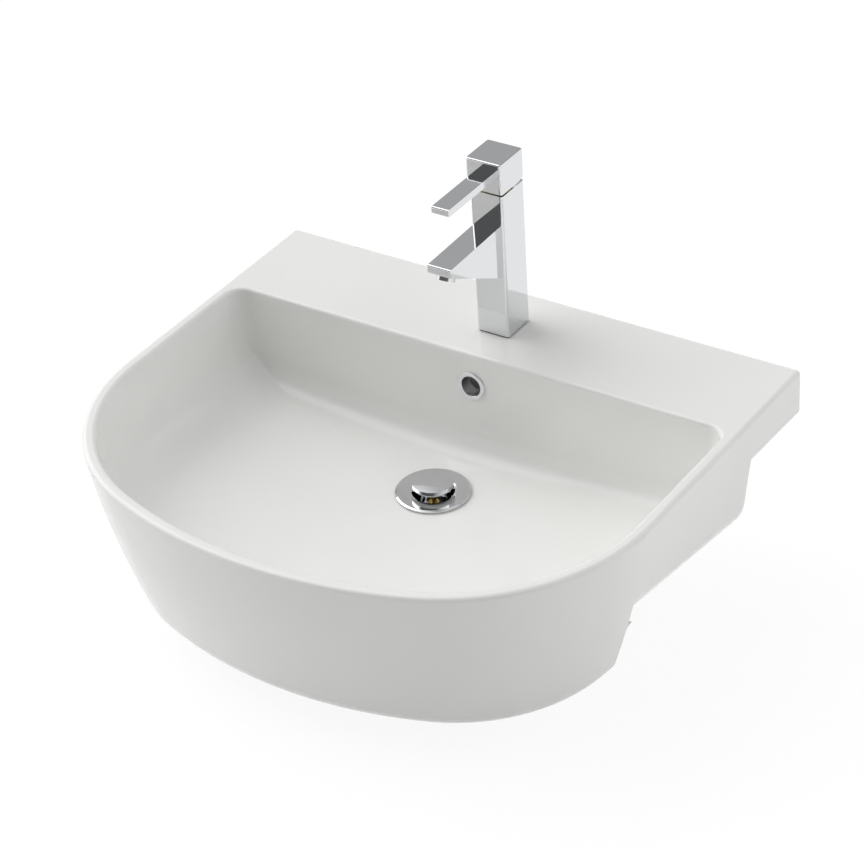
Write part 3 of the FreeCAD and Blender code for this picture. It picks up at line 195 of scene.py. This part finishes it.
def turned_metal(name, dark, light, patch, pitch, roughness):
    """Machined metal: rings a tool's feed apart, drawn coarse enough to show, on mottled tone."""
    material, tree, place = new_material(name)
    tone = colour_patches(tree, place, patch, 3.0, dark, light)
    rings = add_node(tree, "ShaderNodeTexWave",
                     {"Vector": place, "Scale": WAVES_PER_UNIT / (pitch * MM),
                      "Distortion": RING_WOBBLE}, wave_type="BANDS", bands_direction="Z")
    relief = add_node(tree, "ShaderNodeBump",
                      {"Height": rings.outputs["Fac"], "Strength": RING_STRENGTH,
                       "Distance": RING_DEPTH * MM})
    shine = add_node(tree, "ShaderNodeMapRange",
                     {"Value": rings.outputs["Fac"], "To Min": roughness,
                      "To Max": roughness + RING_DULLING})
    shader = add_node(tree, "ShaderNodeBsdfPrincipled",
                      {"Base Color": tone.outputs["Result"], "Metallic": 1.0,
                       "Roughness": shine.outputs["Result"],
                       "Normal": relief.outputs["Normal"]})
    finish_material(tree, shader)
    return material


def moulded(name, dark, light, patch, roughness, texture, depth):
    """Moulded rubber, plastic or fired alumina: a mottled tone with the mould's fine texture."""
    material, tree, place = new_material(name)
    tone = colour_patches(tree, place, patch, 3.0, dark, light)
    shader = add_node(tree, "ShaderNodeBsdfPrincipled",
                      {"Base Color": tone.outputs["Result"], "Roughness": roughness,
                       "Normal": grain(tree, place, texture, 3.0, depth, MOULD_STRENGTH)})
    finish_material(tree, shader)
    return material


def assign(material, *nodes):
    for name in nodes:
        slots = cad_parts[name].data.materials
        slots.clear()
        slots.append(material)


def dress():
    """Give every piece its finish."""
    assign(glazed_ceramic(), "basin")
    assign(chrome_plate(), "overflow_ring", "tap_body", "mixer_handle", "aerator_housing",
           "waste_flange", "waste_plug")
    # Brass shows warm and ringed where it was turned.
    assign(turned_metal("turned_brass", "#B59B5B", "#C9AE6C",
                        patch=3, pitch=0.5, roughness=0.25),
           "cartridge_nut", "spindle", "waste_back_nut", "plug_stem", "click_mechanism")
    # Zinc plate is greyer and duller than chrome, in small spangles.
    assign(turned_metal("zinc_plated_steel", "#9A9DA0", "#B8BABC",
                        patch=2, pitch=0.8, roughness=0.35),
           "handle_grub_screw", "spindle_pin", "tap_fixing_stud", "horseshoe_washer",
           "fixing_nut", "plug_spring")
    # Black rubber is matt, with the bloom of its moulding.
    assign(moulded("black_epdm_rubber", "#151515", "#1F1F1F",
                   patch=1.5, roughness=0.7, texture=0.4, depth=0.03),
           "tap_base_seal", "cartridge_base_seals", "aerator_seal", "horseshoe_seal",
           "waste_bottom_seal")
    # Silicone is milky and soft at its edges.
    assign(moulded("milky_silicone", "#CFCFCB", "#DBDBD8",
                   patch=5, roughness=0.4, texture=0.8, depth=0.02),
           "waste_top_seal", "plug_seal")
    # Acetal is a waxy off-white.
    assign(moulded("moulded_acetal", "#D8D6CE", "#E2E0D9",
                   patch=2, roughness=0.45, texture=0.6, depth=0.02),
           "cartridge_housing", "cartridge_carrier", "aerator_insert")
    # Lapped alumina is pale, dense and almost without texture.
    assign(moulded("lapped_alumina", "#E4E1D8", "#EDEBE4",
                   patch=1, roughness=0.3, texture=0.3, depth=0.005),
           "fixed_ceramic_disc", "moving_ceramic_disc")
    # Glossy ABS has the tone of the chrome round it.
    assign(moulded("glossy_grey_abs", "#8B8D90", "#96989B",
                   patch=2, roughness=0.25, texture=1.0, depth=0.01), "index_plug")


def camera():
    """Camera at the photograph's angle, distance and roll."""
    sideways = Vector((math.cos(CAMERA_AZIMUTH), math.sin(CAMERA_AZIMUTH), 0))
    forward = Vector((-math.sin(CAMERA_AZIMUTH) * math.cos(CAMERA_ELEVATION),
                      math.cos(CAMERA_AZIMUTH) * math.cos(CAMERA_ELEVATION),
                      -math.sin(CAMERA_ELEVATION)))
    level_up = sideways.cross(forward)
    right = sideways * math.cos(CAMERA_ROLL) + level_up * math.sin(CAMERA_ROLL)
    up = level_up * math.cos(CAMERA_ROLL) - sideways * math.sin(CAMERA_ROLL)
    place = CAMERA_TARGET - forward * CAMERA_DISTANCE
    data = bpy.data.cameras.new("camera")
    data.lens = CAMERA_LENS
    data.sensor_width = CAMERA_SENSOR
    data.clip_end = CAMERA_REACH
    made = bpy.data.objects.new("camera", data)
    columns = Matrix((right, up, -forward)).transposed().to_4x4()
    made.matrix_world = Matrix.Translation(place) @ columns
    bpy.context.scene.collection.objects.link(made)
    bpy.context.scene.camera = made


def seen_rays(tree):
    """1 for the camera and for what metal and glass show, 0 for light on matt surfaces."""
    rays = add_node(tree, "ShaderNodeLightPath").outputs
    total = add_node(tree, "ShaderNodeMath",
                     {0: rays["Is Camera Ray"], 1: rays["Is Glossy Ray"]}, operation="MAXIMUM")
    return add_node(tree, "ShaderNodeMath",
                    {0: total.outputs[0], 1: rays["Is Transmission Ray"]},
                    operation="MAXIMUM").outputs[0]


def floor():
    """Pale floor that reads white and keeps the basin's soft shadow."""
    mesh = bpy.data.meshes.new("floor")
    shape = bmesh.new()
    bmesh.ops.create_grid(shape, x_segments=1, y_segments=1, size=FLOOR_SIZE / 2)
    bmesh.ops.translate(shape, vec=(0, 0, CAD_BOX[0][2] - FLOOR_GAP), verts=shape.verts)
    shape.to_mesh(mesh)
    shape.free()
    made = bpy.data.objects.new("floor", mesh)
    bpy.context.scene.collection.objects.link(made)
    material, tree, _ = new_material("white_studio_floor")
    share = add_node(tree, "ShaderNodeMath", {0: seen_rays(tree), 1: FLOOR_LIFT},
                     operation="MULTIPLY")
    matt = add_node(tree, "ShaderNodeBsdfDiffuse", {"Color": linear("#EDEDED")})
    glow = add_node(tree, "ShaderNodeEmission",
                    {"Color": linear("#FFFFFF"), "Strength": FLOOR_GLOW})
    shade = add_node(tree, "ShaderNodeMixShader",
                     {"Fac": share.outputs[0], 1: matt.outputs[0], 2: glow.outputs[0]})
    finish_material(tree, shade)
    mesh.materials.append(material)


def lights():
    """Soft boxes on a dome, and a white surround down at the horizon."""
    world = bpy.data.worlds.new("soft_boxes")
    world.use_nodes = True
    tree = world.node_tree
    tree.nodes.clear()
    look = add_node(tree, "ShaderNodeTexCoord").outputs["Generated"]
    total = DOME_STRENGTH
    for azimuth, elevation, reach, strength in SOFT_BOXES:
        turn, rise = math.radians(azimuth), math.radians(elevation)
        centre = (math.cos(rise) * math.sin(turn), math.cos(rise) * math.cos(turn),
                  math.sin(rise))
        nearness = add_node(tree, "ShaderNodeVectorMath", {0: look, 1: centre},
                            operation="DOT_PRODUCT")
        box = add_node(tree, "ShaderNodeMapRange",
                       {"Value": nearness.outputs["Value"],
                        "From Min": math.cos(math.radians(reach)), "From Max": 1.0,
                        "To Max": strength}, interpolation_type="SMOOTHSTEP")
        total = add_node(tree, "ShaderNodeMath", {0: box.outputs["Result"], 1: total},
                         operation="ADD").outputs[0]
    dome = add_node(tree, "ShaderNodeBackground", {"Strength": total})
    height = add_node(tree, "ShaderNodeSeparateXYZ", {"Vector": look}).outputs["Z"]
    low = add_node(tree, "ShaderNodeMapRange",
                   {"Value": height, "From Min": SURROUND_TOP, "From Max": 0.0},
                   interpolation_type="SMOOTHSTEP")
    mirrored = add_node(tree, "ShaderNodeMath",
                        {0: low.outputs["Result"], 1: seen_rays(tree)}, operation="MULTIPLY")
    rays = add_node(tree, "ShaderNodeLightPath").outputs
    share = add_node(tree, "ShaderNodeMath",
                     {0: mirrored.outputs[0], 1: rays["Is Camera Ray"]}, operation="MAXIMUM")
    white = add_node(tree, "ShaderNodeBackground", {"Color": linear("#FFFFFF")})
    shade = add_node(tree, "ShaderNodeMixShader",
                     {"Fac": share.outputs[0], 1: dome.outputs[0], 2: white.outputs[0]})
    add_node(tree, "ShaderNodeOutputWorld", {"Surface": shade.outputs[0]})
    bpy.context.scene.world = world


bpy.context.scene.view_settings.view_transform = "Standard"
camera()
floor()
lights()
dress()
